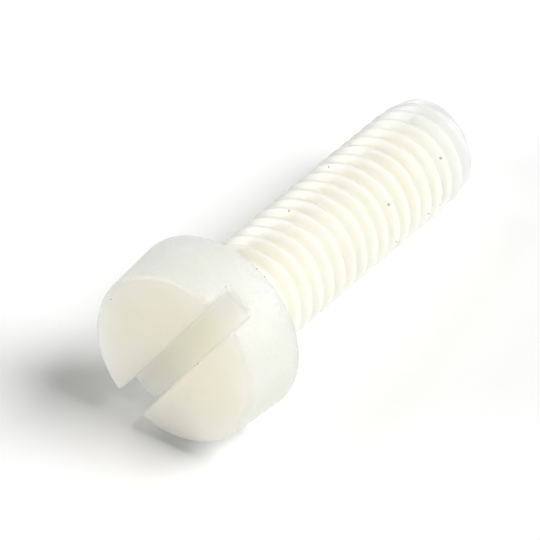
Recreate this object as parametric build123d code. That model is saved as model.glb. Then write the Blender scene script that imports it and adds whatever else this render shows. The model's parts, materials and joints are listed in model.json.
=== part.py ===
from build123d import *
import math
import os

# Slotted cheese head screw, M6 x 1.0 x 20, moulded in one piece in natural nylon.
#
# Screw frame: the origin is the centre of the bearing face under the head, +Z runs from the head to
# the tip, and the driver slot is cut along Y, so that its width is measured along X.
# Part frame: the screw lies on level ground on the rim of its head and the last thread crests.
# +Y runs level from head to tip, +Z is up, and the origin is the middle of the outline's base.
# All lengths are in millimetres and all angles are in degrees.

# Head: a cheese head whose side leans in towards the face, as a mould needs
HEAD_RIM_DIAMETER = 9.88  # at the bearing face
HEAD_FACE_DIAMETER = 9.33  # at the face, before its edge is rounded
HEAD_HEIGHT = 3.7
FACE_EDGE_RADIUS = 0.3
RIM_EDGE_RADIUS = 0.06
UNDERHEAD_RADIUS = 0.25

# Driver slot, open at both ends and a little off the screw's axis
SLOT_WIDTH = 1.6
SLOT_DEPTH = 1.55
SLOT_OFFSET = -0.1  # of the slot's middle from the axis, along X
SLOT_FLOOR_RADIUS = 0.15
SLOT_EDGE_RADIUS = 0.25

# Shank and its right-handed thread
SHANK_LENGTH = 19.8  # bearing face to tip
CREST_DIAMETER = 5.85
PITCH = 1.0
THREAD_ANGLE = 60.0
CREST_CUT_SHARE = 0.125  # of the sharp thread's height, lost at the rounded crest
ROOT_CUT_SHARE = 0.235  # of the sharp thread's height, filled at the root
THREAD_START_ANGLE = 72.0  # where a crest would cross the bearing face, from +X towards +Y
NECK_LENGTH = 1.5  # the plain shank between the head and the thread
NECK_STEP = 0.04  # how far the neck stands over the crests, on the radius
SHOULDER_ANGLE = 30.0  # the neck's end leans this much from square

# Lead-in: a shallow cone that trims the last crests at the tip
LEAD_IN_LENGTH = 1.45
LEAD_IN_DROP = 0.28  # on the radius

# How the screw lies
SLOT_ROLL = 33.2  # the slot's lean from upright towards +X, seen from the head

OUTLINE_TOLERANCE = 0.005  # how closely its outline is measured, to set it on the ground

# Solids that are joined or cut pass each other by these lengths, so that no two faces coincide
OVERRUN = 1.0
OVERLAP = 0.18

RIM_RADIUS = HEAD_RIM_DIAMETER / 2
FACE_RADIUS = HEAD_FACE_DIAMETER / 2
CREST_RADIUS = CREST_DIAMETER / 2
NECK_RADIUS = CREST_RADIUS + NECK_STEP
LEAD_IN_START = SHANK_LENGTH - LEAD_IN_LENGTH

# The sharp thread is a triangle with the pitch as its base
FLANK_LEAN = math.radians(THREAD_ANGLE / 2)
SHARP_HEIGHT = PITCH / 2 / math.tan(FLANK_LEAN)
ROOT_RADIUS = CREST_RADIUS - (1 - CREST_CUT_SHARE - ROOT_CUT_SHARE) * SHARP_HEIGHT

# The arc that rounds a crest touches both flanks and stands the cut height from the sharp edge
CREST_ARC = CREST_CUT_SHARE * SHARP_HEIGHT * math.sin(FLANK_LEAN) / (1 - math.sin(FLANK_LEAN))


def round_corner(section: Sketch, radius: float, height: float, size: float) -> Sketch:
    """Round the corner of a half section that lies at this radius and height."""
    corner = section.vertices().sort_by_distance((radius, height, 0))[0]
    return fillet(corner, size)


def head_and_core() -> Part:
    """The round body: head, neck and the thread's core, which runs on past the tip."""
    shoulder_length = (NECK_RADIUS - ROOT_RADIUS) * math.tan(math.radians(SHOULDER_ANGLE))
    half_section = make_face(
        Polyline(
            (0, -HEAD_HEIGHT),
            (FACE_RADIUS, -HEAD_HEIGHT),
            (RIM_RADIUS, 0),
            (NECK_RADIUS, 0),
            (NECK_RADIUS, NECK_LENGTH),
            (ROOT_RADIUS, NECK_LENGTH + shoulder_length),
            (ROOT_RADIUS, SHANK_LENGTH + OVERRUN),
            (0, SHANK_LENGTH + OVERRUN),
            close=True,
        )
    )
    half_section = round_corner(half_section, FACE_RADIUS, -HEAD_HEIGHT, FACE_EDGE_RADIUS)
    half_section = round_corner(half_section, RIM_RADIUS, 0, RIM_EDGE_RADIUS)
    half_section = round_corner(half_section, NECK_RADIUS, 0, UNDERHEAD_RADIUS)
    return revolve(Plane.XZ * half_section, Axis.Z)


def slot_cutter() -> Part:
    """The bar that leaves the driver slot, with its two lower edges rounded."""
    bar = Pos(SLOT_OFFSET, 0, SLOT_DEPTH - HEAD_HEIGHT) * Box(
        SLOT_WIDTH,
        HEAD_RIM_DIAMETER + 2 * OVERRUN,
        SLOT_DEPTH + OVERRUN,
        align=(Align.CENTER, Align.CENTER, Align.MAX),
    )
    floor_edges = bar.edges().filter_by(Axis.Y).group_by(Axis.Z)[-1]
    return fillet(floor_edges, SLOT_FLOOR_RADIUS)


def slotted_body() -> Part:
    """The round body with the driver slot, whose edges are rounded along the face and at its ends."""
    blank = head_and_core()
    cutter = slot_cutter()
    body = blank - cutter
    return fillet(new_edges(blank, cutter, combined=body), SLOT_EDGE_RADIUS)


def ridge_section(base_radius: float) -> Face:
    """The thread ridge's cross-section: its height along X from this radius, its width along Y."""
    touch_height = CREST_RADIUS - CREST_ARC * (1 - math.sin(FLANK_LEAN)) - base_radius
    touch_half_width = CREST_ARC * math.cos(FLANK_LEAN)
    base_half_width = touch_half_width + touch_height * math.tan(FLANK_LEAN)
    flanks_and_base = Polyline(
        (touch_height, touch_half_width),
        (0, base_half_width),
        (0, -base_half_width),
        (touch_height, -touch_half_width),
    )
    crest = ThreePointArc(
        (touch_height, -touch_half_width),
        (CREST_RADIUS - base_radius, 0),
        (touch_height, touch_half_width),
    )
    return make_face(flanks_and_base + crest)


def thread_ridge() -> Part:
    """The ridge that winds about the core, from inside the neck to past the tip."""
    start = NECK_LENGTH / 2
    base_radius = ROOT_RADIUS - OVERLAP
    path = Helix(PITCH, SHANK_LENGTH + OVERRUN - start, base_radius)
    across = Plane(origin=path @ 0, x_dir=(1, 0, 0), z_dir=path % 0)
    ridge = sweep(across * ridge_section(base_radius), path=path, is_frenet=True)
    return Pos(0, 0, start) * Rot(0, 0, THREAD_START_ANGLE + 360 * start / PITCH) * ridge


def tip_trimmer() -> Part:
    """All that lies outside the lead-in cone or past the tip."""
    slope = LEAD_IN_DROP / LEAD_IN_LENGTH
    clear_radius = CREST_RADIUS + OVERLAP
    clear_start = LEAD_IN_START - OVERLAP / slope
    outside = make_face(
        Polyline(
            (clear_radius, clear_start),
            (CREST_RADIUS + OVERRUN, clear_start),
            (CREST_RADIUS + OVERRUN, SHANK_LENGTH + 2 * OVERRUN),
            (0, SHANK_LENGTH + 2 * OVERRUN),
            (0, SHANK_LENGTH),
            (CREST_RADIUS - LEAD_IN_DROP, SHANK_LENGTH),
            close=True,
        )
    )
    return revolve(Plane.XZ * outside, Axis.Z)


def lay_down(standing: Part) -> Part:
    """Turn the screw from its own frame to the way it lies, and set it on the ground."""
    tilt = math.atan2(RIM_RADIUS - CREST_RADIUS, LEAD_IN_START)
    to_tip = Vector(0, math.cos(tilt), -math.sin(tilt))
    upright = Vector(0, math.sin(tilt), math.cos(tilt))
    roll = math.radians(SLOT_ROLL)
    slot_line = Vector(1, 0, 0) * math.sin(roll) + upright * math.cos(roll)
    lying_frame = Plane(origin=(0, 0, 0), x_dir=slot_line.cross(to_tip), z_dir=to_tip)
    lying = lying_frame.location * standing
    outline, _ = lying.tessellate(OUTLINE_TOLERANCE)
    lengthwise = [point.Y for point in outline]
    middle = (min(lengthwise) + max(lengthwise)) / 2
    ground = min(point.Z for point in outline)
    return Pos(0, -middle, -ground) * lying


screw = lay_down((slotted_body() - tip_trimmer()) + (thread_ridge() - tip_trimmer()))

os.makedirs("parts", exist_ok=True)
export_step(screw, "parts/screw.step")
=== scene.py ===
"""A slotted cheese head screw, M6 x 1.0 x 20, moulded in natural nylon: looks, ground, light, view.

The screw is one moulding, so it is one closed mesh. Its shape is worked out in the screw's own
frame, in millimetres: the origin is the centre of the bearing face under the head, +Z runs from the
head to the tip, and the driver slot runs along Y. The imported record's mounts say where that frame
lies in the row's frame.
"""

import json
import logging
import math
from dataclasses import dataclass, field
from enum import Enum
from typing import Any

import bmesh
import bpy
import numpy as np
from mathutils import Matrix, Vector


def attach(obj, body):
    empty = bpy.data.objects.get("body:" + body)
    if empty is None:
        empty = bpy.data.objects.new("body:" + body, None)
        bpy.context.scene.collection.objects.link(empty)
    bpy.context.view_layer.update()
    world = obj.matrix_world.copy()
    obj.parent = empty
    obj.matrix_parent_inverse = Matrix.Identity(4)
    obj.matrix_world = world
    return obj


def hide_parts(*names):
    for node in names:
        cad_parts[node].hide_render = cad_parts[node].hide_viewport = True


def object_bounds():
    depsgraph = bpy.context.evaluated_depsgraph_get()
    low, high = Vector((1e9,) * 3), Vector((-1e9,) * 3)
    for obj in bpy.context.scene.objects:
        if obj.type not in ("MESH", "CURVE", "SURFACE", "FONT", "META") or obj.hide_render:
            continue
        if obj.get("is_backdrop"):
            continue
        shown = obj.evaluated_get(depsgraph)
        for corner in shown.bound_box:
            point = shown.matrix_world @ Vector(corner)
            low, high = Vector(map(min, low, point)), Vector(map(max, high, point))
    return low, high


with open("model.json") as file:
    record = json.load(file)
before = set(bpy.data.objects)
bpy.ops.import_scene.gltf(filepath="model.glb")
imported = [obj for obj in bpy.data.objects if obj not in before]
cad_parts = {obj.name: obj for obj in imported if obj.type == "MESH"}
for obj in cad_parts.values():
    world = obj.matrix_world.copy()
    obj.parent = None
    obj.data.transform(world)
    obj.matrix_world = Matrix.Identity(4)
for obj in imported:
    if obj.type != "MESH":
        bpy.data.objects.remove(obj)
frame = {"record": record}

log = logging.getLogger("screw")

MM = 0.001
NODE = "screw"
WHITE = "#FFFFFF"

# A colour Mix node's sockets, by number, because it names them like its sockets for plain numbers
SHARE, FIRST, SECOND, MIXED = 0, 6, 7, 2


# --------------------------------------------------------------------------------------------------
# Helpers: colour, nodes and rounded shapes
# --------------------------------------------------------------------------------------------------


def linear(hex_colour: str) -> tuple[float, float, float, float]:
    """Turn an sRGB hex colour into linear light.

    Args:
        hex_colour: Six hex digits after a hash sign.

    Returns:
        Red, green and blue in linear light, and an alpha of one.
    """
    channels = [int(hex_colour[start : start + 2], 16) / 255 for start in (1, 3, 5)]
    curve = [c / 12.92 if c <= 0.04045 else ((c + 0.055) / 1.055) ** 2.4 for c in channels]
    return curve[0], curve[1], curve[2], 1.0


def per_size(size: float) -> float:
    """Texture scale at which one feature of a pattern is this long, in the pattern's own unit."""
    return 1 / size


def add_node(
    tree: bpy.types.NodeTree,
    kind: str,
    settings: dict[str, Any] | None = None,
    inputs: dict[str | int, Any] | None = None,
) -> bpy.types.Node:
    """Add a shader node with its settings, its constant inputs and its incoming links.

    Args:
        tree: The node tree that gets the node.
        kind: The node's type, such as "ShaderNodeTexNoise".
        settings: Attributes of the node itself.
        inputs: Values by socket name or number. An output socket is linked, anything else is set.

    Returns:
        The new node.
    """
    node = tree.nodes.new(kind)
    for name, value in (settings or {}).items():
        setattr(node, name, value)
    for name, value in (inputs or {}).items():
        if isinstance(value, bpy.types.NodeSocket):
            tree.links.new(value, node.inputs[name])
        else:
            node.inputs[name].default_value = value
    return node


def new_material(name: str) -> tuple[bpy.types.Material, bpy.types.NodeTree]:
    """Make an empty node material.

    Args:
        name: The material's name.

    Returns:
        The material and its empty node tree.
    """
    material = bpy.data.materials.new(name)
    material.use_nodes = True
    material.node_tree.nodes.clear()
    return material, material.node_tree


def shown_rays(tree: bpy.types.NodeTree) -> bpy.types.NodeSocket:
    """Add the nodes that tell rays that show a backdrop from rays that only carry its light.

    Args:
        tree: The node tree that gets the nodes.

    Returns:
        A socket that is 1 for rays from the camera, also mirrored or through glass, and else 0.
    """
    rays = add_node(tree, "ShaderNodeLightPath").outputs
    shown = rays["Is Camera Ray"]
    for kind in ("Is Glossy Ray", "Is Transmission Ray"):
        shown = add_node(
            tree, "ShaderNodeMath", {"operation": "MAXIMUM"}, {0: shown, 1: rays[kind]}
        ).outputs["Value"]
    return shown


def meet_round(first: np.ndarray, second: np.ndarray, radius: float) -> np.ndarray:
    """Depth function of what two solids share, with the edge between them rounded.

    Args:
        first: Signed depth outside the first solid, in millimetres.
        second: Signed depth outside the second solid.
        radius: The edge's radius.

    Returns:
        Signed depth outside the shared solid.
    """
    over = np.hypot(np.maximum(first + radius, 0), np.maximum(second + radius, 0))
    return np.minimum(-radius, np.maximum(first, second)) + over


def join_round(first: np.ndarray, second: np.ndarray, radius: float) -> np.ndarray:
    """Depth function of two solids joined, with the hollow between them filled to a radius."""
    return -meet_round(-first, -second, radius)


def wider(first: np.ndarray, second: np.ndarray, radius: float) -> np.ndarray:
    """The greater of two shaft radii at each place, with the hollow between them filled."""
    return second + meet_round(first - second, 0 * first, radius)


def narrower(first: np.ndarray, second: np.ndarray, radius: float) -> np.ndarray:
    """The lesser of two shaft radii at each place, with the edge between them rounded."""
    return -wider(-first, -second, radius)


def graded(
    length: float, fine_start: list[float], fine_end: list[float], coarse: int
) -> np.ndarray:
    """Stations from 0 to a length, close together at the two ends.

    Args:
        length: The last station.
        fine_start: Stations after 0, rising.
        fine_end: Distances back from the end, falling, without 0.
        coarse: How many equal gaps fill the middle.

    Returns:
        All stations, rising.
    """
    first, last = fine_start[-1], length - fine_end[0]
    middle = np.linspace(first, last, coarse + 1)[1:-1]
    ends = [length - back for back in fine_end]
    return np.array([0.0, *fine_start, *middle, *ends, length])


# --------------------------------------------------------------------------------------------------
# Finishes
# --------------------------------------------------------------------------------------------------


@dataclass(frozen=True)
class Speck:
    """A scorched speck just under the skin, in millimetres in the screw's own frame."""

    place: tuple[float, float, float]
    radius: float


SPECKS = (
    Speck((-0.94, 1.08, -3.59), 0.07),
    Speck((0.92, 4.68, -2.21), 0.05),
    Speck((4.22, -0.5, -3.7), 0.05),
    Speck((0.62, 4.9, -0.07), 0.06),
    Speck((0.07, 4.93, -0.08), 0.06),
    Speck((1.93, 2.1, 6.83), 0.09),
    Speck((2.41, 1.34, 11.72), 0.07),
    Speck((-1.04, 2.56, 11.96), 0.1),
    Speck((-2.71, 1.02, 12.17), 0.09),
    Speck((-2.69, 1.09, 15.17), 0.09),
    Speck((-2.71, 1.08, 16.22), 0.06),
    Speck((-0.94, 2.62, 16.96), 0.11),
)


@dataclass(frozen=True)
class Span:
    """A stretch over which one level gives way to another, in the unit of what it is laid over."""

    start: float
    end: float

    def levels(
        self,
        value: bpy.types.NodeSocket,
        low: float | bpy.types.NodeSocket = 0.0,
        high: float | bpy.types.NodeSocket = 1.0,
        unit: float = 1.0,
    ) -> dict[str, Any]:
        """List what a Map Range node takes in to go from one level to the other over this stretch.

        Args:
            value: The socket that carries the place along the stretch.
            low: The level at the start.
            high: The level at the end.
            unit: How long the stretch's unit is in that of the value.

        Returns:
            Values by the node's socket names.
        """
        return {
            "Value": value,
            "From Min": self.start * unit,
            "From Max": self.end * unit,
            "To Min": low,
            "To Max": high,
        }


@dataclass(frozen=True)
class NaturalNylon:
    """Nylon 66 without pigment, injection moulded in a spark-eroded steel mould.

    Light goes deep into it and comes out warm, so the side away from the light glows and the
    thread's grooves are barely darker than its crests. Light and shade are also painted into its
    tones: the face and the slot's floor are painted warmer and lighter, as light that came through
    the head, and the head's side is painted greyer and darker, as painted shade that holds down the
    key light on it. The tip is greyer than the shank. It is satin under a thin gloss, which gives
    the rounded edges soft highlights, and the mould's fine grain breaks them up.
    """

    name: str = "Natural nylon 66, injection moulded"

    # Tones of the face, the slot's floor, the head's side, the shank, the tip and the specks. The
    # first three hold painted light and shade
    # Painted light: the face is warmer, as light that came through the head and out at its face
    face: str = "#FBF2D9"
    # Painted light: the slot's floor is lighter and warm, against the shade in the slot and as
    # light that came through the head
    slot: str = "#FFFAE6"
    # Painted shade: the head's side is greyer and darker, to hold down the key light that falls on
    # it
    head_side_painted_shade: str = "#E4E6DA"
    thread: str = "#F2F0DD"
    tip: str = "#E9EADF"
    speck: str = "#A79C84"

    # Where one tone gives way to the next: out from the axis, then along the screw, in millimetres
    inner: Span = Span(4.3, 4.75)
    below_face: Span = Span(-3.65, -3.2)
    neck: Span = Span(-0.4, 0.6)
    tip_end: Span = Span(16.6, 18.4)

    # Nylon's own index, a satin skin, and a thin gloss over it from the steel's polish
    ior: float = 1.53
    roughness: float = 0.31
    roughness_spread: float = 0.06
    gloss_weight: float = 0.25
    gloss_roughness: float = 0.16
    scatter_mm: tuple[float, float, float] = (9.0, 9.0, 8.6)

    # The melt leaves faint flow marks a millimetre or two long, which shift the satin a little
    flow_mm: float = 1.6
    flow_height_mm: float = 0.01
    flow_share: Span = Span(0.3, 0.7)

    # Spark erosion leaves pits some 0.03 mm wide. They are too fine to show, so they are drawn
    # four times as wide and deeper, and on the polished faces they are nearly gone.
    grain_mm: float = 0.13
    grain_height_mm: float = 0.07
    grain_elsewhere: float = 0.12

    # The tone drifts slowly through the moulding, as thick and thin places cooled at their own pace
    drift_mm: float = 4.0
    drift_depth: float = 0.25
    drift_share: Span = Span(0.35, 0.65)

    specks: tuple[Speck, ...] = SPECKS

    def build(self, lie: Matrix) -> bpy.types.Material:
        """Build the material.

        Args:
            lie: Where the screw's own frame lies, from its millimetres to metres.

        Returns:
            A material whose tone, roughness and grain vary through the solid.
        """
        material, tree = new_material(self.name)
        back = lie.inverted()
        place = add_node(
            tree,
            "ShaderNodeMapping",
            {"vector_type": "POINT"},
            {
                "Vector": add_node(tree, "ShaderNodeTexCoord").outputs["Object"],
                "Location": back.to_translation(),
                "Rotation": back.to_euler(),
                "Scale": back.to_scale(),
            },
        ).outputs["Vector"]
        radius = self._radius(tree, place)
        flow = add_node(
            tree,
            "ShaderNodeTexNoise",
            inputs={"Vector": place, "Scale": per_size(self.flow_mm), "Detail": 3.0},
        ).outputs["Fac"]
        half_spread = self.roughness_spread / 2
        satin = add_node(
            tree,
            "ShaderNodeMapRange",
            inputs=self.flow_share.levels(
                flow, self.roughness - half_spread, self.roughness + half_spread
            ),
        ).outputs["Result"]
        normal = self._skin(tree, place, radius, flow)
        shader = add_node(
            tree,
            "ShaderNodeBsdfPrincipled",
            {"subsurface_method": "RANDOM_WALK"},
            {
                "Base Color": self._specked(tree, place, self._tone(tree, place, radius)),
                "Roughness": satin,
                "IOR": self.ior,
                "Subsurface Weight": 1.0,
                "Subsurface Radius": self.scatter_mm,
                "Subsurface Scale": MM,
                "Normal": normal,
                "Coat Weight": self.gloss_weight,
                "Coat Roughness": self.gloss_roughness,
                "Coat Normal": normal,
            },
        )
        add_node(tree, "ShaderNodeOutputMaterial", inputs={"Surface": shader.outputs["BSDF"]})
        return material

    def _radius(
        self, tree: bpy.types.NodeTree, place: bpy.types.NodeSocket
    ) -> bpy.types.NodeSocket:
        """Add the nodes that measure how far each place is from the screw's axis.

        Args:
            tree: The material's node tree.
            place: Millimetres in the screw's own frame.

        Returns:
            The socket that carries the radius, in millimetres.
        """
        flat = add_node(
            tree,
            "ShaderNodeVectorMath",
            {"operation": "MULTIPLY"},
            {0: place, 1: (1.0, 1.0, 0.0)},
        ).outputs["Vector"]
        return add_node(
            tree, "ShaderNodeVectorMath", {"operation": "LENGTH"}, {0: flat}
        ).outputs["Value"]

    def _tone(
        self, tree: bpy.types.NodeTree, place: bpy.types.NodeSocket, radius: bpy.types.NodeSocket
    ) -> bpy.types.NodeSocket:
        """Lay the tones over each other from the face to the tip, with a slow drift through them.

        Args:
            tree: The material's node tree.
            place: Millimetres in the screw's own frame.
            radius: The socket that carries the distance from the axis.

        Returns:
            The socket that carries the body colour.
        """
        along = add_node(tree, "ShaderNodeSeparateXYZ", inputs={"Vector": place}).outputs["Z"]
        # The face's and the slot floor's tones are painted light, and the head side's tone is
        # painted shade; the tip's tone is just greyer
        layers = (
            (self.below_face.levels(along), self.slot),
            (self.inner.levels(radius), self.head_side_painted_shade),
            (self.neck.levels(along), self.thread),
            (self.tip_end.levels(along), self.tip),
        )
        colour = linear(self.face)
        for levels, tone in layers:
            share = add_node(tree, "ShaderNodeMapRange", inputs=levels).outputs["Result"]
            colour = add_node(
                tree,
                "ShaderNodeMix",
                {"data_type": "RGBA"},
                {SHARE: share, FIRST: colour, SECOND: linear(tone)},
            ).outputs[MIXED]
        drift = add_node(
            tree,
            "ShaderNodeTexNoise",
            inputs={"Vector": place, "Scale": per_size(self.drift_mm), "Detail": 2.0},
        ).outputs["Fac"]
        depth = add_node(
            tree, "ShaderNodeMapRange", inputs=self.drift_share.levels(drift, 0.0, self.drift_depth)
        ).outputs["Result"]
        return add_node(
            tree,
            "ShaderNodeMix",
            {"data_type": "RGBA", "blend_type": "MULTIPLY"},
            {SHARE: depth, FIRST: colour, SECOND: linear(self.head_side_painted_shade)},
        ).outputs[MIXED]

    def _specked(
        self, tree: bpy.types.NodeTree, place: bpy.types.NodeSocket, body: bpy.types.NodeSocket
    ) -> bpy.types.NodeSocket:
        """Put the specks on the body colour, each with a soft rim.

        Args:
            tree: The material's node tree.
            place: Millimetres in the screw's own frame.
            body: The socket that carries the body colour.

        Returns:
            The socket that carries the specked colour.
        """
        colour = body
        for speck in self.specks:
            away = add_node(
                tree,
                "ShaderNodeVectorMath",
                {"operation": "DISTANCE"},
                {0: place, 1: speck.place},
            ).outputs["Value"]
            rim = Span(speck.radius / 2, speck.radius)
            share = add_node(
                tree, "ShaderNodeMapRange", inputs=rim.levels(away, 1.0, 0.0)
            ).outputs["Result"]
            colour = add_node(
                tree,
                "ShaderNodeMix",
                {"data_type": "RGBA"},
                {SHARE: share, FIRST: colour, SECOND: linear(self.speck)},
            ).outputs[MIXED]
        return colour

    def _skin(
        self,
        tree: bpy.types.NodeTree,
        place: bpy.types.NodeSocket,
        radius: bpy.types.NodeSocket,
        flow: bpy.types.NodeSocket,
    ) -> bpy.types.NodeSocket:
        """Lay the mould's fine grain over the slower flow of the melt.

        Args:
            tree: The material's node tree.
            place: Millimetres in the screw's own frame.
            radius: The socket that carries the distance from the axis.
            flow: The socket that carries the melt's flow pattern.

        Returns:
            The socket that carries the normal.
        """
        slow = add_node(
            tree,
            "ShaderNodeBump",
            inputs={"Height": flow, "Distance": self.flow_height_mm * MM, "Strength": 1.0},
        ).outputs["Normal"]
        grain = add_node(
            tree,
            "ShaderNodeTexNoise",
            inputs={
                "Vector": place,
                "Scale": per_size(self.grain_mm),
                "Detail": 2.0,
                "Roughness": 0.6,
            },
        ).outputs["Fac"]
        depth = add_node(
            tree, "ShaderNodeMapRange", inputs=self.inner.levels(radius, self.grain_elsewhere)
        ).outputs["Result"]
        return add_node(
            tree,
            "ShaderNodeBump",
            inputs={
                "Height": grain,
                "Distance": self.grain_height_mm * MM,
                "Strength": depth,
                "Normal": slow,
            },
        ).outputs["Normal"]


@dataclass(frozen=True)
class SeamlessPaper:
    """White seamless background paper, rolled dead matte, so that only the shadow shows on it."""

    name: str = "Seamless paper, white matte"
    sheet: str = WHITE

    # Wood fibres are some 0.03 mm wide and too fine to show, so they are drawn as flocks of them
    fibre: str = "#FAFAFA"
    fibre_mm: float = 0.4

    # A little light of its own lifts the open sheet to full white where it is seen
    glow: float = 0.07

    # A studio's sheet sweeps up into a lit wall: away from the screw it turns an even white
    sweep_mm: Span = Span(45.0, 150.0)

    def build(self) -> bpy.types.Material:
        """Build the material.

        Returns:
            A matte material that is seen as white wherever no shadow falls.
        """
        material, tree = new_material(self.name)
        place = add_node(tree, "ShaderNodeTexCoord").outputs["Object"]
        fibres = add_node(
            tree,
            "ShaderNodeTexNoise",
            inputs={"Vector": place, "Scale": per_size(self.fibre_mm * MM), "Detail": 4.0},
        ).outputs["Fac"]
        tone = add_node(
            tree,
            "ShaderNodeMix",
            {"data_type": "RGBA"},
            {SHARE: fibres, FIRST: linear(self.sheet), SECOND: linear(self.fibre)},
        ).outputs[MIXED]
        matte = add_node(tree, "ShaderNodeBsdfDiffuse", inputs={"Color": tone}).outputs["BSDF"]
        shown = shown_rays(tree)
        strength = add_node(
            tree, "ShaderNodeMath", {"operation": "MULTIPLY"}, {0: shown, 1: self.glow}
        ).outputs["Value"]
        glow = add_node(
            tree, "ShaderNodeEmission", inputs={"Color": linear(WHITE), "Strength": strength}
        ).outputs["Emission"]
        lit = add_node(tree, "ShaderNodeAddShader", inputs={0: matte, 1: glow}).outputs["Shader"]
        away = add_node(
            tree, "ShaderNodeVectorMath", {"operation": "LENGTH"}, {0: place}
        ).outputs["Value"]
        swept = add_node(
            tree,
            "ShaderNodeMapRange",
            {"interpolation_type": "SMOOTHSTEP"},
            self.sweep_mm.levels(away, 0.0, shown, MM),
        ).outputs["Result"]
        wall = add_node(
            tree, "ShaderNodeEmission", inputs={"Color": linear(WHITE)}
        ).outputs["Emission"]
        paper = add_node(
            tree, "ShaderNodeMixShader", inputs={0: swept, 1: lit, 2: wall}
        ).outputs["Shader"]
        add_node(tree, "ShaderNodeOutputMaterial", inputs={"Surface": paper})
        return material


# --------------------------------------------------------------------------------------------------
# The screw
# --------------------------------------------------------------------------------------------------


@dataclass
class CheeseHead:
    """The round head with its driver slot. Lengths are in millimetres."""

    rim_diameter: float = 9.88
    face_diameter: float = 9.33
    height: float = 3.7
    face_edge_radius: float = 0.3
    rim_edge_radius: float = 0.06
    slot_width: float = 1.6
    slot_depth: float = 1.55
    slot_offset: float = -0.1
    slot_floor_radius: float = 0.15
    slot_edge_radius: float = 0.25
    corner_angle: float = 40.0

    def radius_at(self, along: np.ndarray | float) -> np.ndarray | float:
        """The leaning side's radius at this distance along the screw."""
        lean = (self.rim_diameter - self.face_diameter) / 2 / self.height
        return self.rim_diameter / 2 + lean * along

    def depth(self, x: np.ndarray, y: np.ndarray, along: np.ndarray) -> np.ndarray:
        """Signed depth outside the slotted head.

        Args:
            x: Positions across the slot.
            y: Positions along the slot.
            along: Positions along the screw.

        Returns:
            Depths in millimetres, negative inside.
        """
        lean = math.atan2((self.rim_diameter - self.face_diameter) / 2, self.height)
        side = (np.hypot(x, y) - self.radius_at(along)) * math.cos(lean)
        blank = meet_round(side, -self.height - along, self.face_edge_radius)
        blank = meet_round(blank, along, self.rim_edge_radius)
        walls = np.abs(x - self.slot_offset) - self.slot_width / 2
        floor = along + self.height - self.slot_depth
        slot = meet_round(walls, floor, self.slot_floor_radius)
        return meet_round(blank, -slot, self.slot_edge_radius)

    # Stations of the mesh: they crowd at the edges, where its points then move onto the rounding

    def _across_pad(self) -> np.ndarray:
        """Stations from the slot's edge out to the rim, from 0 to 1."""
        return graded(1.0, [0.009, 0.019, 0.032, 0.06], [0.12, 0.085, 0.06, 0.038, 0.018], 7)

    def _along_slot(self) -> np.ndarray:
        """Stations from one end of the slot to the other, from -1 to 1."""
        ends = [0.09, 0.065, 0.045, 0.028, 0.013]
        return graded(2.0, [0.013, 0.028, 0.045, 0.065, 0.09], ends, 22) - 1

    def _across_floor(self) -> np.ndarray:
        """Positions from wall to wall."""
        ends = [0.2, 0.15, 0.11, 0.07, 0.035]
        return graded(self.slot_width, ends[::-1], ends, 5) - self.slot_width / 2

    def _down_wall(self) -> np.ndarray:
        """Positions along the screw from the face to the slot's floor."""
        rounded_edge = [0.025, 0.055, 0.09, 0.14, 0.21, 0.3, 0.4]
        rounded_corner = [0.2, 0.15, 0.11, 0.07, 0.035]
        return graded(self.slot_depth, rounded_edge, rounded_corner, 8) - self.height

    def _down_side(self) -> np.ndarray:
        """Positions along the screw from the slot's floor to the bearing face."""
        length = self.height - self.slot_depth
        return graded(length, [0.035, 0.07, 0.11], [0.09, 0.06, 0.04, 0.02], 14) - length

    def _slot_angle(self, along: np.ndarray | float) -> np.ndarray | float:
        """Angle from X at which the slot's wall meets the side, in radians."""
        return np.arccos(self.slot_width / 2 / self.radius_at(along))

    def _pad_rim_angles(self) -> np.ndarray:
        """Work out where the columns of the pad's rim stand at the face.

        Returns:
            Angles from X, from the rim's lower end to its upper end, in radians.
        """
        corner = math.radians(self.corner_angle)
        slot = float(self._slot_angle(-self.height))
        shoulder = slot + (corner - slot) * self._across_pad()
        middle = corner * self._along_slot()
        return np.concatenate([-shoulder[:-1], middle, shoulder[:-1][::-1]])

    def _pad(self) -> np.ndarray:
        """Fill the flat pad beside the slot, on the +X side, between its four bordering lines.

        Returns:
            A grid of points, from the slot's edge to the rim and from end to end.
        """
        radius = self.face_diameter / 2
        corner = math.radians(self.corner_angle)
        slot = float(self._slot_angle(-self.height))
        out = self._across_pad()[:, None, None]
        level = self._along_slot()[None, :, None]
        up = (level + 1) / 2

        def on_rim(angle: np.ndarray) -> np.ndarray:
            """Points on the rim at these angles."""
            return radius * np.concatenate([np.cos(angle), np.sin(angle)], axis=-1)

        half = np.full_like(level, self.slot_width / 2)
        edge = np.concatenate([half, level * radius * math.sin(slot)], axis=-1)
        rim = on_rim(corner * level)
        turn = slot + (corner - slot) * out
        lower, upper = on_rim(-turn), on_rim(turn)
        blend = (1 - out) * edge + out * rim + (1 - up) * lower + up * upper
        corners = (
            (1 - out) * (1 - up) * edge[:, :1]
            + (1 - out) * up * edge[:, -1:]
            + out * (1 - up) * rim[:, :1]
            + out * up * rim[:, -1:]
        )
        flat = blend - corners
        return np.concatenate([flat, np.full_like(flat[..., :1], -self.height)], axis=-1)

    def _side(self, stations: np.ndarray) -> np.ndarray:
        """Lay out the leaning side beyond one pad.

        Args:
            stations: Positions along the screw.

        Returns:
            A grid of points, along the screw and from the slot's one wall round to the other.
        """
        along = stations[:, None]
        angles = self._pad_rim_angles()[None, :]
        spread = self._slot_angle(along) / self._slot_angle(-self.height)
        radius = self.radius_at(along)
        turned = angles * spread
        x, y = radius * np.cos(turned), radius * np.sin(turned)
        return np.stack([x, y, along + 0 * turned], axis=-1)

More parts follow.
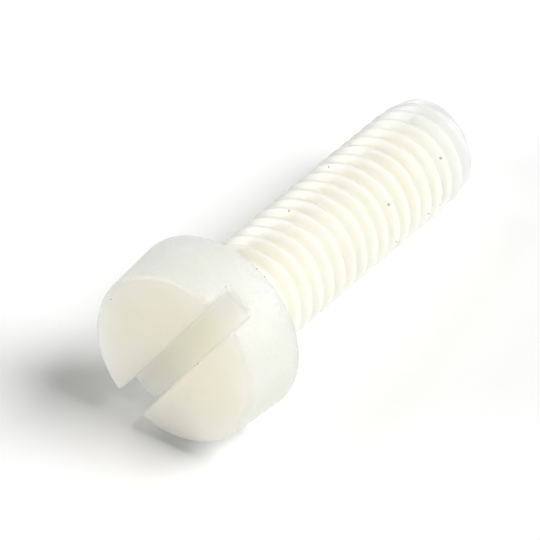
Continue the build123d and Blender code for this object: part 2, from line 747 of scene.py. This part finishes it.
    def _wall(self) -> np.ndarray:
        """Lay out the slot's wall on the +X side.

        Returns:
            A grid of points, down the wall and along the slot.
        """
        along = self._down_wall()[:, None]
        reach = np.sqrt(self.radius_at(along) ** 2 - (self.slot_width / 2) ** 2)
        y = reach * self._along_slot()[None, :]
        return np.stack([np.full_like(y, self.slot_width / 2), y, along + 0 * y], axis=-1)

    def _floor(self) -> np.ndarray:
        """Lay out the slot's floor.

        Returns:
            A grid of points, across and along the slot.
        """
        level = self.slot_depth - self.height
        x = self._across_floor()[:, None]
        reach = np.sqrt(self.radius_at(level) ** 2 - x**2)
        y = reach * self._along_slot()[None, :]
        return np.stack([x + 0 * y, y, np.full_like(y, level)], axis=-1)

    def _under_slot(self) -> np.ndarray:
        """Lay out the side between the slot's floor and the bearing face, at the slot's +Y end.

        Returns:
            A grid of points, along the screw and from wall to wall.
        """
        along = self._down_side()[:, None]
        x = self._across_floor()[None, :]
        y = np.sqrt(self.radius_at(along) ** 2 - x**2)
        return np.stack([x + 0 * y, y, along + 0 * y], axis=-1)

    def grids(self) -> list[np.ndarray]:
        """Lay out the whole head but its bearing face.

        Returns:
            Grids of points that share their border points exactly.
        """
        half_turn = np.array([-1.0, -1.0, 1.0])
        one_side = [
            self._pad(),
            self._side(self._down_wall()),
            self._side(self._down_side()),
            self._wall(),
            self._under_slot(),
        ]
        centred = [*one_side, *(grid * half_turn for grid in one_side), self._floor()]
        return [self._shifted(grid) for grid in centred]

    def _shifted(self, grid: np.ndarray) -> np.ndarray:
        """Move a grid over to the slot's own middle, less and less towards the bearing face."""
        share = np.clip(-grid[..., 2] / (self.height - self.slot_depth), 0, 1)
        return grid + share[..., None] * np.array([self.slot_offset, 0, 0])

    def column_angles(self) -> np.ndarray:
        """Work out where the mesh's columns stand at the bearing face.

        Returns:
            Angles about the screw, rising from the first, in radians.
        """
        spread = self._slot_angle(0.0) / self._slot_angle(-self.height)
        right = self._pad_rim_angles() * spread
        gap = np.arccos(self._across_floor()[::-1] / self.radius_at(0.0))[1:-1]
        half = np.concatenate([right, gap])
        return np.concatenate([half, half + math.pi])


@dataclass
class ThreadedShank:
    """The neck, the right-handed thread and the lead-in at the tip. Lengths are in millimetres."""

    length: float = 19.8
    crest_diameter: float = 5.85
    pitch: float = 1.0
    thread_angle: float = 60.0
    crest_cut_share: float = 0.125
    root_cut_share: float = 0.235
    start_angle: float = 72.0
    neck_length: float = 1.5
    neck_step: float = 0.04
    shoulder_angle: float = 30.0
    shoulder_blend: float = 0.05
    underhead_radius: float = 0.25
    lead_in_length: float = 1.45
    lead_in_drop: float = 0.28
    lead_in_blend: float = 0.03
    tip_edge_radius: float = 0.1
    root_in_head: float = 1.0

    # Rows of the mesh from crest to root, in pitches, rows round each hollow or rounded edge, and
    # rings of the tip's flat end, as shares of its radius
    stations_per_side: tuple[float, ...] = (
        0.02, 0.042, 0.066, 0.094, 0.17, 0.25, 0.324, 0.365, 0.42
    )
    fillet_rows: int = 8
    edge_rows: int = 6
    end_rings: tuple[float, ...] = (0.93, 0.8, 0.6, 0.4, 0.2, 0.08, 0.0)

    @property
    def crest_radius(self) -> float:
        """Radius over the crests."""
        return self.crest_diameter / 2

    @property
    def neck_radius(self) -> float:
        """Radius of the plain neck."""
        return self.crest_radius + self.neck_step

    def thread_radius(self, turn: np.ndarray, along: np.ndarray) -> np.ndarray:
        """Work out the endless thread's radius.

        Args:
            turn: Angles about the screw from +X towards +Y, in radians.
            along: Positions along the screw.

        Returns:
            Radii, from a rounded crest over straight flanks to a rounded root.
        """
        lean = math.radians(self.thread_angle / 2)
        sharp_height = self.pitch / 2 / math.tan(lean)
        arc_per_cut = math.sin(lean) / (1 - math.sin(lean))
        crest_arc = self.crest_cut_share * sharp_height * arc_per_cut
        root_arc = self.root_cut_share * sharp_height * arc_per_cut
        crest_reach, root_reach = crest_arc * math.cos(lean), root_arc * math.cos(lean)
        crest = self.crest_radius
        sharp = crest + self.crest_cut_share * sharp_height
        root = crest - (1 - self.crest_cut_share - self.root_cut_share) * sharp_height
        turns = (turn - math.radians(self.start_angle)) / (2 * math.pi)
        offset = along / self.pitch - turns
        away = np.abs(offset - np.round(offset)) * self.pitch
        from_root = away - self.pitch / 2
        on_crest = crest - crest_arc + np.sqrt(np.maximum(crest_arc**2 - away**2, 0))
        on_root = root + root_arc - np.sqrt(np.maximum(root_arc**2 - from_root**2, 0))
        on_flank = sharp - away / math.tan(lean)
        radius = np.where(away < crest_reach, on_crest, on_flank)
        return np.where(away > self.pitch / 2 - root_reach, on_root, radius)

    def radius_at(self, turn: np.ndarray, along: np.ndarray) -> np.ndarray:
        """Work out the shank's radius: the thread, cut back by the lead-in, or the neck over it.

        Args:
            turn: Angles about the screw, in radians.
            along: Positions along the screw.

        Returns:
            Radii.
        """
        into_lead = along - (self.length - self.lead_in_length)
        cone = self.crest_radius - self.lead_in_drop * into_lead / self.lead_in_length
        thread = narrower(self.thread_radius(turn, along), cone, self.lead_in_blend)
        past_neck = np.maximum(along - self.neck_length, 0)
        neck = self.neck_radius - past_neck / math.tan(math.radians(self.shoulder_angle))
        return wider(thread, neck, self.shoulder_blend)

    def depth(self, x: np.ndarray, y: np.ndarray, along: np.ndarray) -> np.ndarray:
        """Signed depth outside the shank.

        Args:
            x: Positions across the slot.
            y: Positions along the slot.
            along: Positions along the screw.

        Returns:
            Depths in millimetres, negative inside.
        """
        side = np.hypot(x, y) - self.radius_at(np.arctan2(y, x), along)
        body = meet_round(side, along - self.length, self.tip_edge_radius)
        return np.maximum(body, -self.root_in_head - along)

    def _rows(self) -> np.ndarray:
        """Work out where the mesh's rows stand at the thread's start angle.

        Returns:
            Positions along the screw, over all the thread's turns.
        """
        half = np.array(self.stations_per_side) * self.pitch
        one_turn = np.concatenate([-half[::-1], [0.0], half, [self.pitch / 2]])
        turns = np.arange(-1, math.ceil(self.length / self.pitch) + 2)
        return (turns[:, None] * self.pitch + one_turn[None, :]).ravel()

    def grid(self, columns: np.ndarray) -> np.ndarray:
        """Lay out the neck and thread, whose rows run along the thread.

        Args:
            columns: Angles of the mesh's columns over one turn, in radians, rising.

        Returns:
            A grid of points, from the underhead fillet to the tip's edge and once round.
        """
        around = np.append(columns, columns[0] + 2 * math.pi)[None, :]
        climb = self.pitch * (around - math.radians(self.start_angle)) / (2 * math.pi)
        low, high = self.underhead_radius, self.length - self.tip_edge_radius
        along = np.clip(self._rows()[:, None] + climb, low, high)
        radius = self.radius_at(around + 0 * along, along)
        return np.stack([radius * np.cos(around), radius * np.sin(around), along], axis=-1)

    def fillet(self, columns: np.ndarray) -> np.ndarray:
        """Lay out the hollow fillet under the head.

        Args:
            columns: Angles of the mesh's columns over one turn, in radians, rising.

        Returns:
            A grid of points, from the neck to the bearing face and once round.
        """
        around = np.append(columns, columns[0] + 2 * math.pi)[None, :]
        arc = np.linspace(0, math.pi / 2, self.fillet_rows)[:, None]
        radius = self.neck_radius + self.underhead_radius * (1 - np.cos(arc))
        along = self.underhead_radius * (1 - np.sin(arc)) + 0 * around
        return np.stack([radius * np.cos(around), radius * np.sin(around), along], axis=-1)

    def end(self, columns: np.ndarray) -> np.ndarray:
        """Lay out the rounded edge and flat end of the tip.

        Args:
            columns: Angles of the mesh's columns over one turn, in radians, rising.

        Returns:
            A grid of points, from the last row of the thread in to the middle.
        """
        around = np.append(columns, columns[0] + 2 * math.pi)[None, :]
        arc = np.linspace(0, math.pi / 2, self.edge_rows)[:, None]
        edge = self.tip_edge_radius
        start = self.radius_at(around, 0 * around + self.length - edge)
        inner = start - edge
        rounded = inner + edge * np.cos(arc)
        level = self.length - edge + edge * np.sin(arc) + 0 * around
        shares = np.array(self.end_rings)[:, None]
        radius = np.concatenate([rounded, inner * shares])
        along = np.concatenate([level, np.full((len(shares), around.shape[1]), self.length)])
        return np.stack([radius * np.cos(around), radius * np.sin(around), along], axis=-1)


@dataclass
class SlottedScrew:
    """The whole screw, one moulding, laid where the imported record's mounts say."""

    head: CheeseHead = field(default_factory=CheeseHead)
    shank: ThreadedShank = field(default_factory=ThreadedShank)
    slot_roll: float = 33.2
    weld_distance: float = 1e-4
    settle_steps: int = 8
    slope_step: float = 0.002
    least_slope: float = 0.5

    def _bearing(self, columns: np.ndarray) -> np.ndarray:
        """Lay out the flat bearing face.

        Args:
            columns: Angles of the mesh's columns over one turn, in radians, rising.

        Returns:
            A grid of points, from the fillet out to the rim and once round.
        """
        around = np.append(columns, columns[0] + 2 * math.pi)[None, :]
        inner = self.shank.neck_radius + self.shank.underhead_radius
        outer = self.head.rim_diameter / 2
        radius = inner + graded(outer - inner, [0.1, 0.25], [0.09, 0.06, 0.04, 0.02], 4)[:, None]
        x, y = radius * np.cos(around), radius * np.sin(around)
        return np.stack([x, y, 0 * x], axis=-1)

    def _depth(self, points: np.ndarray) -> np.ndarray:
        """Work out how far points are outside the screw.

        Args:
            points: Points in the screw's own frame, one to a row.

        Returns:
            Signed depths in millimetres, negative inside.
        """
        x, y, along = points.T
        head = self.head.depth(x, y, along)
        shank = self.shank.depth(x, y, along)
        return join_round(head, shank, self.shank.underhead_radius)

    def _slope(self, points: np.ndarray) -> np.ndarray:
        """Work out the slope of the depth by small steps either way.

        Args:
            points: Points in the screw's own frame, one to a row.

        Returns:
            The slope at each point, which points straight out of the screw.
        """
        ways = np.eye(3) * self.slope_step
        sides = [self._depth(points + way) - self._depth(points - way) for way in ways]
        return np.stack(sides, axis=1) / (2 * self.slope_step)

    def _settle(self, points: np.ndarray) -> np.ndarray:
        """Move points onto the screw's rounded surface.

        Args:
            points: Points near the surface, in millimetres.

        Returns:
            Points on the surface.
        """
        for _ in range(self.settle_steps):
            slope = self._slope(points)
            size = np.maximum((slope**2).sum(axis=1, keepdims=True), self.least_slope**2)
            points = points - slope * self._depth(points)[:, None] / size
        return points

    def _weld(self, grids: list[np.ndarray]) -> bpy.types.Mesh:
        """Join grids of points into one closed mesh of the unrounded shape.

        Args:
            grids: Grids whose borders share their points.

        Returns:
            The mesh, in millimetres and in the screw's own frame.
        """
        shell = bmesh.new()
        for grid in grids:
            rows = [[shell.verts.new(point) for point in row] for row in grid]
            for low, high in zip(rows, rows[1:]):
                for a, b, c, d in zip(low, low[1:], high[1:], high):
                    shell.faces.new((a, b, c, d))
        bmesh.ops.remove_doubles(shell, verts=shell.verts, dist=self.weld_distance)
        bmesh.ops.dissolve_degenerate(shell, edges=shell.edges, dist=self.weld_distance)
        bmesh.ops.recalc_face_normals(shell, faces=shell.faces)
        open_edges = sum(1 for edge in shell.edges if not edge.is_manifold)
        log.info("shell: %d faces, %d open edges", len(shell.faces), open_edges)
        mesh = bpy.data.meshes.new(NODE)
        shell.to_mesh(mesh)
        shell.free()
        return mesh

    def _lie(self, record: dict[str, Any]) -> Matrix:
        """Work out where the screw's own frame lies in the row's frame.

        Args:
            record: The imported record.

        Returns:
            A matrix from millimetres in the screw's frame to metres in the row's frame.
        """
        seat = next(mount for mount in record["mounts"] if mount["name"] == "bearing_face")
        to_tip = Vector(seat["axis"]).normalized()
        level = Vector((1, 0, 0))
        upright = level.cross(to_tip)
        roll = math.radians(self.slot_roll)
        slot_line = level * math.sin(roll) + upright * math.cos(roll)
        across = slot_line.cross(to_tip)
        turned = Matrix((across, slot_line, to_tip)).transposed().to_4x4()
        return Matrix.Translation(Vector(seat["pos_m"])) @ turned @ Matrix.Scale(MM, 4)

    def _moulding(self, lie: Matrix) -> bpy.types.Mesh:
        """Build the screw's mesh, on its rounded surface and where it lies.

        Args:
            lie: Where the screw's own frame lies, from its millimetres to metres.

        Returns:
            The mesh, in metres and in the row's frame, with the true surface's normals.
        """
        columns = self.head.column_angles()
        grids = [
            *self.head.grids(),
            self._bearing(columns),
            self.shank.fillet(columns),
            self.shank.grid(columns),
            self.shank.end(columns),
        ]
        mesh = self._weld(grids)
        flat = np.empty(len(mesh.vertices) * 3)
        mesh.vertices.foreach_get("co", flat)
        points = self._settle(flat.reshape(-1, 3))
        slope = self._slope(points)
        normals = slope / np.linalg.norm(slope, axis=1, keepdims=True)
        turn_and_scale, shift = np.array(lie)[:3, :3], np.array(lie)[:3, 3]
        placed = points @ turn_and_scale.T + shift
        turned = normals @ (turn_and_scale / MM).T
        mesh.vertices.foreach_set("co", placed.ravel())
        mesh.update()
        mesh.shade_smooth()
        mesh.normals_split_custom_set_from_vertices(turned.tolist())
        return mesh

    def build(self, record: dict[str, Any], finish: NaturalNylon) -> bpy.types.Object:
        """Build the screw and give it its finish.

        Args:
            record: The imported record.
            finish: What it is made of.

        Returns:
            The screw's object.
        """
        lie = self._lie(record)
        mesh = self._moulding(lie)
        mesh.materials.append(finish.build(lie))
        screw = bpy.data.objects.new("screw_moulding", mesh)
        bpy.context.scene.collection.objects.link(screw)
        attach(screw, "root")
        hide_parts(NODE)
        return screw


# --------------------------------------------------------------------------------------------------
# Ground, light and view
# --------------------------------------------------------------------------------------------------


def towards(azimuth: float, elevation: float) -> Vector:
    """Find the way from the screw to something that stands round it.

    Args:
        azimuth: Degrees round from straight in front of the head, anticlockwise from above.
        elevation: Degrees above the level.

    Returns:
        A vector of length one.
    """
    around, up = math.radians(azimuth), math.radians(elevation)
    level = math.cos(up)
    return Vector((math.sin(around) * level, -math.cos(around) * level, math.sin(up)))


@dataclass
class Ground:
    """The level sheet of paper that the screw lies on. Lengths are in metres."""

    size: float = 3.0
    finish: SeamlessPaper = field(default_factory=SeamlessPaper)

    def build(self) -> bpy.types.Object:
        """Build the sheet just under the screw.

        Returns:
            The sheet's object.
        """
        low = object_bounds()[0][2]
        half = self.size / 2
        mesh = bpy.data.meshes.new("ground")
        corners = [(-half, -half, low), (half, -half, low), (half, half, low), (-half, half, low)]
        mesh.from_pydata(corners, [], [(0, 1, 2, 3)])
        mesh.materials.append(self.finish.build())
        sheet = bpy.data.objects.new("ground", mesh)
        bpy.context.scene.collection.objects.link(sheet)
        sheet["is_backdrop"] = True
        return sheet


class Reach(Enum):
    """How widely a lamp's panel spreads its light, as its side's share of its distance."""

    BROAD = 1.2
    MIDDLE = 0.6
    SMALL = 0.5
    TIGHT = 0.15


@dataclass
class SoftBox:
    """One square lamp panel that faces the screw."""

    name: str
    azimuth: float
    elevation: float
    reach: Reach
    level: float
    distance: float = 1.5

    def build(self, aim: Vector) -> bpy.types.Object:
        """Build the lamp.

        Args:
            aim: The point that it faces, in metres.

        Returns:
            The lamp's object. Its level is the light that it would lay on a white sheet facing it.
        """
        way = towards(self.azimuth, self.elevation)
        lamp = bpy.data.lights.new(self.name, "AREA")
        lamp.shape = "SQUARE"
        lamp.size = self.reach.value * self.distance
        lamp.energy = self.level * math.pi * math.pi * self.distance**2
        panel = bpy.data.objects.new(self.name, lamp)
        panel.location = aim + way * self.distance
        panel.rotation_euler = way.to_track_quat("Z", "Y").to_euler()
        bpy.context.scene.collection.objects.link(panel)
        return panel


@dataclass
class Studio:
    """Plain soft light from four panels, with weak fill and white all round."""

    # The key stands beside the shank, the card before the head to light its face, the back light
    # low beyond the tip, and the small glint opposite the key to shine along the rounded edges
    boxes: tuple[SoftBox, ...] = (
        SoftBox("key", 114.0, 48.0, Reach.MIDDLE, 1.11),
        SoftBox("card", 318.0, 13.0, Reach.SMALL, 0.48),
        SoftBox("back", 215.0, 18.0, Reach.BROAD, 0.16),
        SoftBox("glint", 270.0, 43.0, Reach.TIGHT, 0.075),
    )
    fill: float = 0.04
    shown: float = 1.0

    def build(self, aim: Vector) -> None:
        """Build the lamps and the world.

        Args:
            aim: The point that the lamps face, in metres.
        """
        for box in self.boxes:
            box.build(aim)
        world = bpy.data.worlds.new("studio")
        bpy.context.scene.world = world
        world.use_nodes = True
        tree = world.node_tree
        tree.nodes.clear()
        lights, shows = (
            add_node(
                tree, "ShaderNodeBackground", inputs={"Color": linear(WHITE), "Strength": strength}
            ).outputs["Background"]
            for strength in (self.fill, self.shown)
        )
        both = add_node(
            tree, "ShaderNodeMixShader", inputs={0: shown_rays(tree), 1: lights, 2: shows}
        ).outputs["Shader"]
        add_node(tree, "ShaderNodeOutputWorld", inputs={"Surface": both})


@dataclass
class Viewpoint:
    """The camera: from the head's side, above and to the right. Lengths are in millimetres."""

    azimuth: float = 34.213
    elevation: float = 41.654
    distance: float = 231.03
    seat_left: float = 2.659
    seat_down: float = 2.660
    lens: float = 313.0
    nearest: float = 10.0
    farthest: float = 10000.0

    def build(self, seat: Vector) -> bpy.types.Object:
        """Build the camera and make it the scene's own.

        Args:
            seat: The bearing face's centre, which lies a little left of and below the middle.

        Returns:
            The camera's object.
        """
        around = math.radians(self.azimuth)
        back = towards(self.azimuth, self.elevation)
        right = Vector((math.cos(around), math.sin(around), 0))
        top = back.cross(right)
        offset = back * self.distance + right * self.seat_left + top * self.seat_down
        lens = bpy.data.cameras.new("camera")
        lens.lens = self.lens
        lens.clip_start = self.nearest * MM
        lens.clip_end = self.farthest * MM
        camera = bpy.data.objects.new("camera", lens)
        camera.location = seat + offset * MM
        camera.rotation_euler = Matrix((right, top, back)).transposed().to_euler()
        bpy.context.scene.collection.objects.link(camera)
        bpy.context.scene.camera = camera
        return camera


def main() -> None:
    """Build the screw, its ground, its light and its view, in that order."""
    logging.basicConfig(level=logging.INFO, format="%(message)s")
    cad_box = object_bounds()
    record = frame["record"]
    seat = Vector(next(m for m in record["mounts"] if m["name"] == "bearing_face")["pos_m"])
    bpy.context.scene.view_settings.view_transform = "Standard"
    screw = SlottedScrew().build(record, NaturalNylon())
    log.info("%s: %d faces", screw.name, len(screw.data.polygons))
    sheet = Ground().build()
    log.info("%s: %s", sheet.name, sheet.data.materials[0].name)
    studio = Studio()
    studio.build((Vector(cad_box[0]) + Vector(cad_box[1])) / 2)
    log.info("lamps: %s", ", ".join(box.name for box in studio.boxes))
    camera = Viewpoint().build(seat)
    log.info("%s: %.0f mm lens", camera.name, camera.data.lens)


if __name__ == "__main__":
    main()
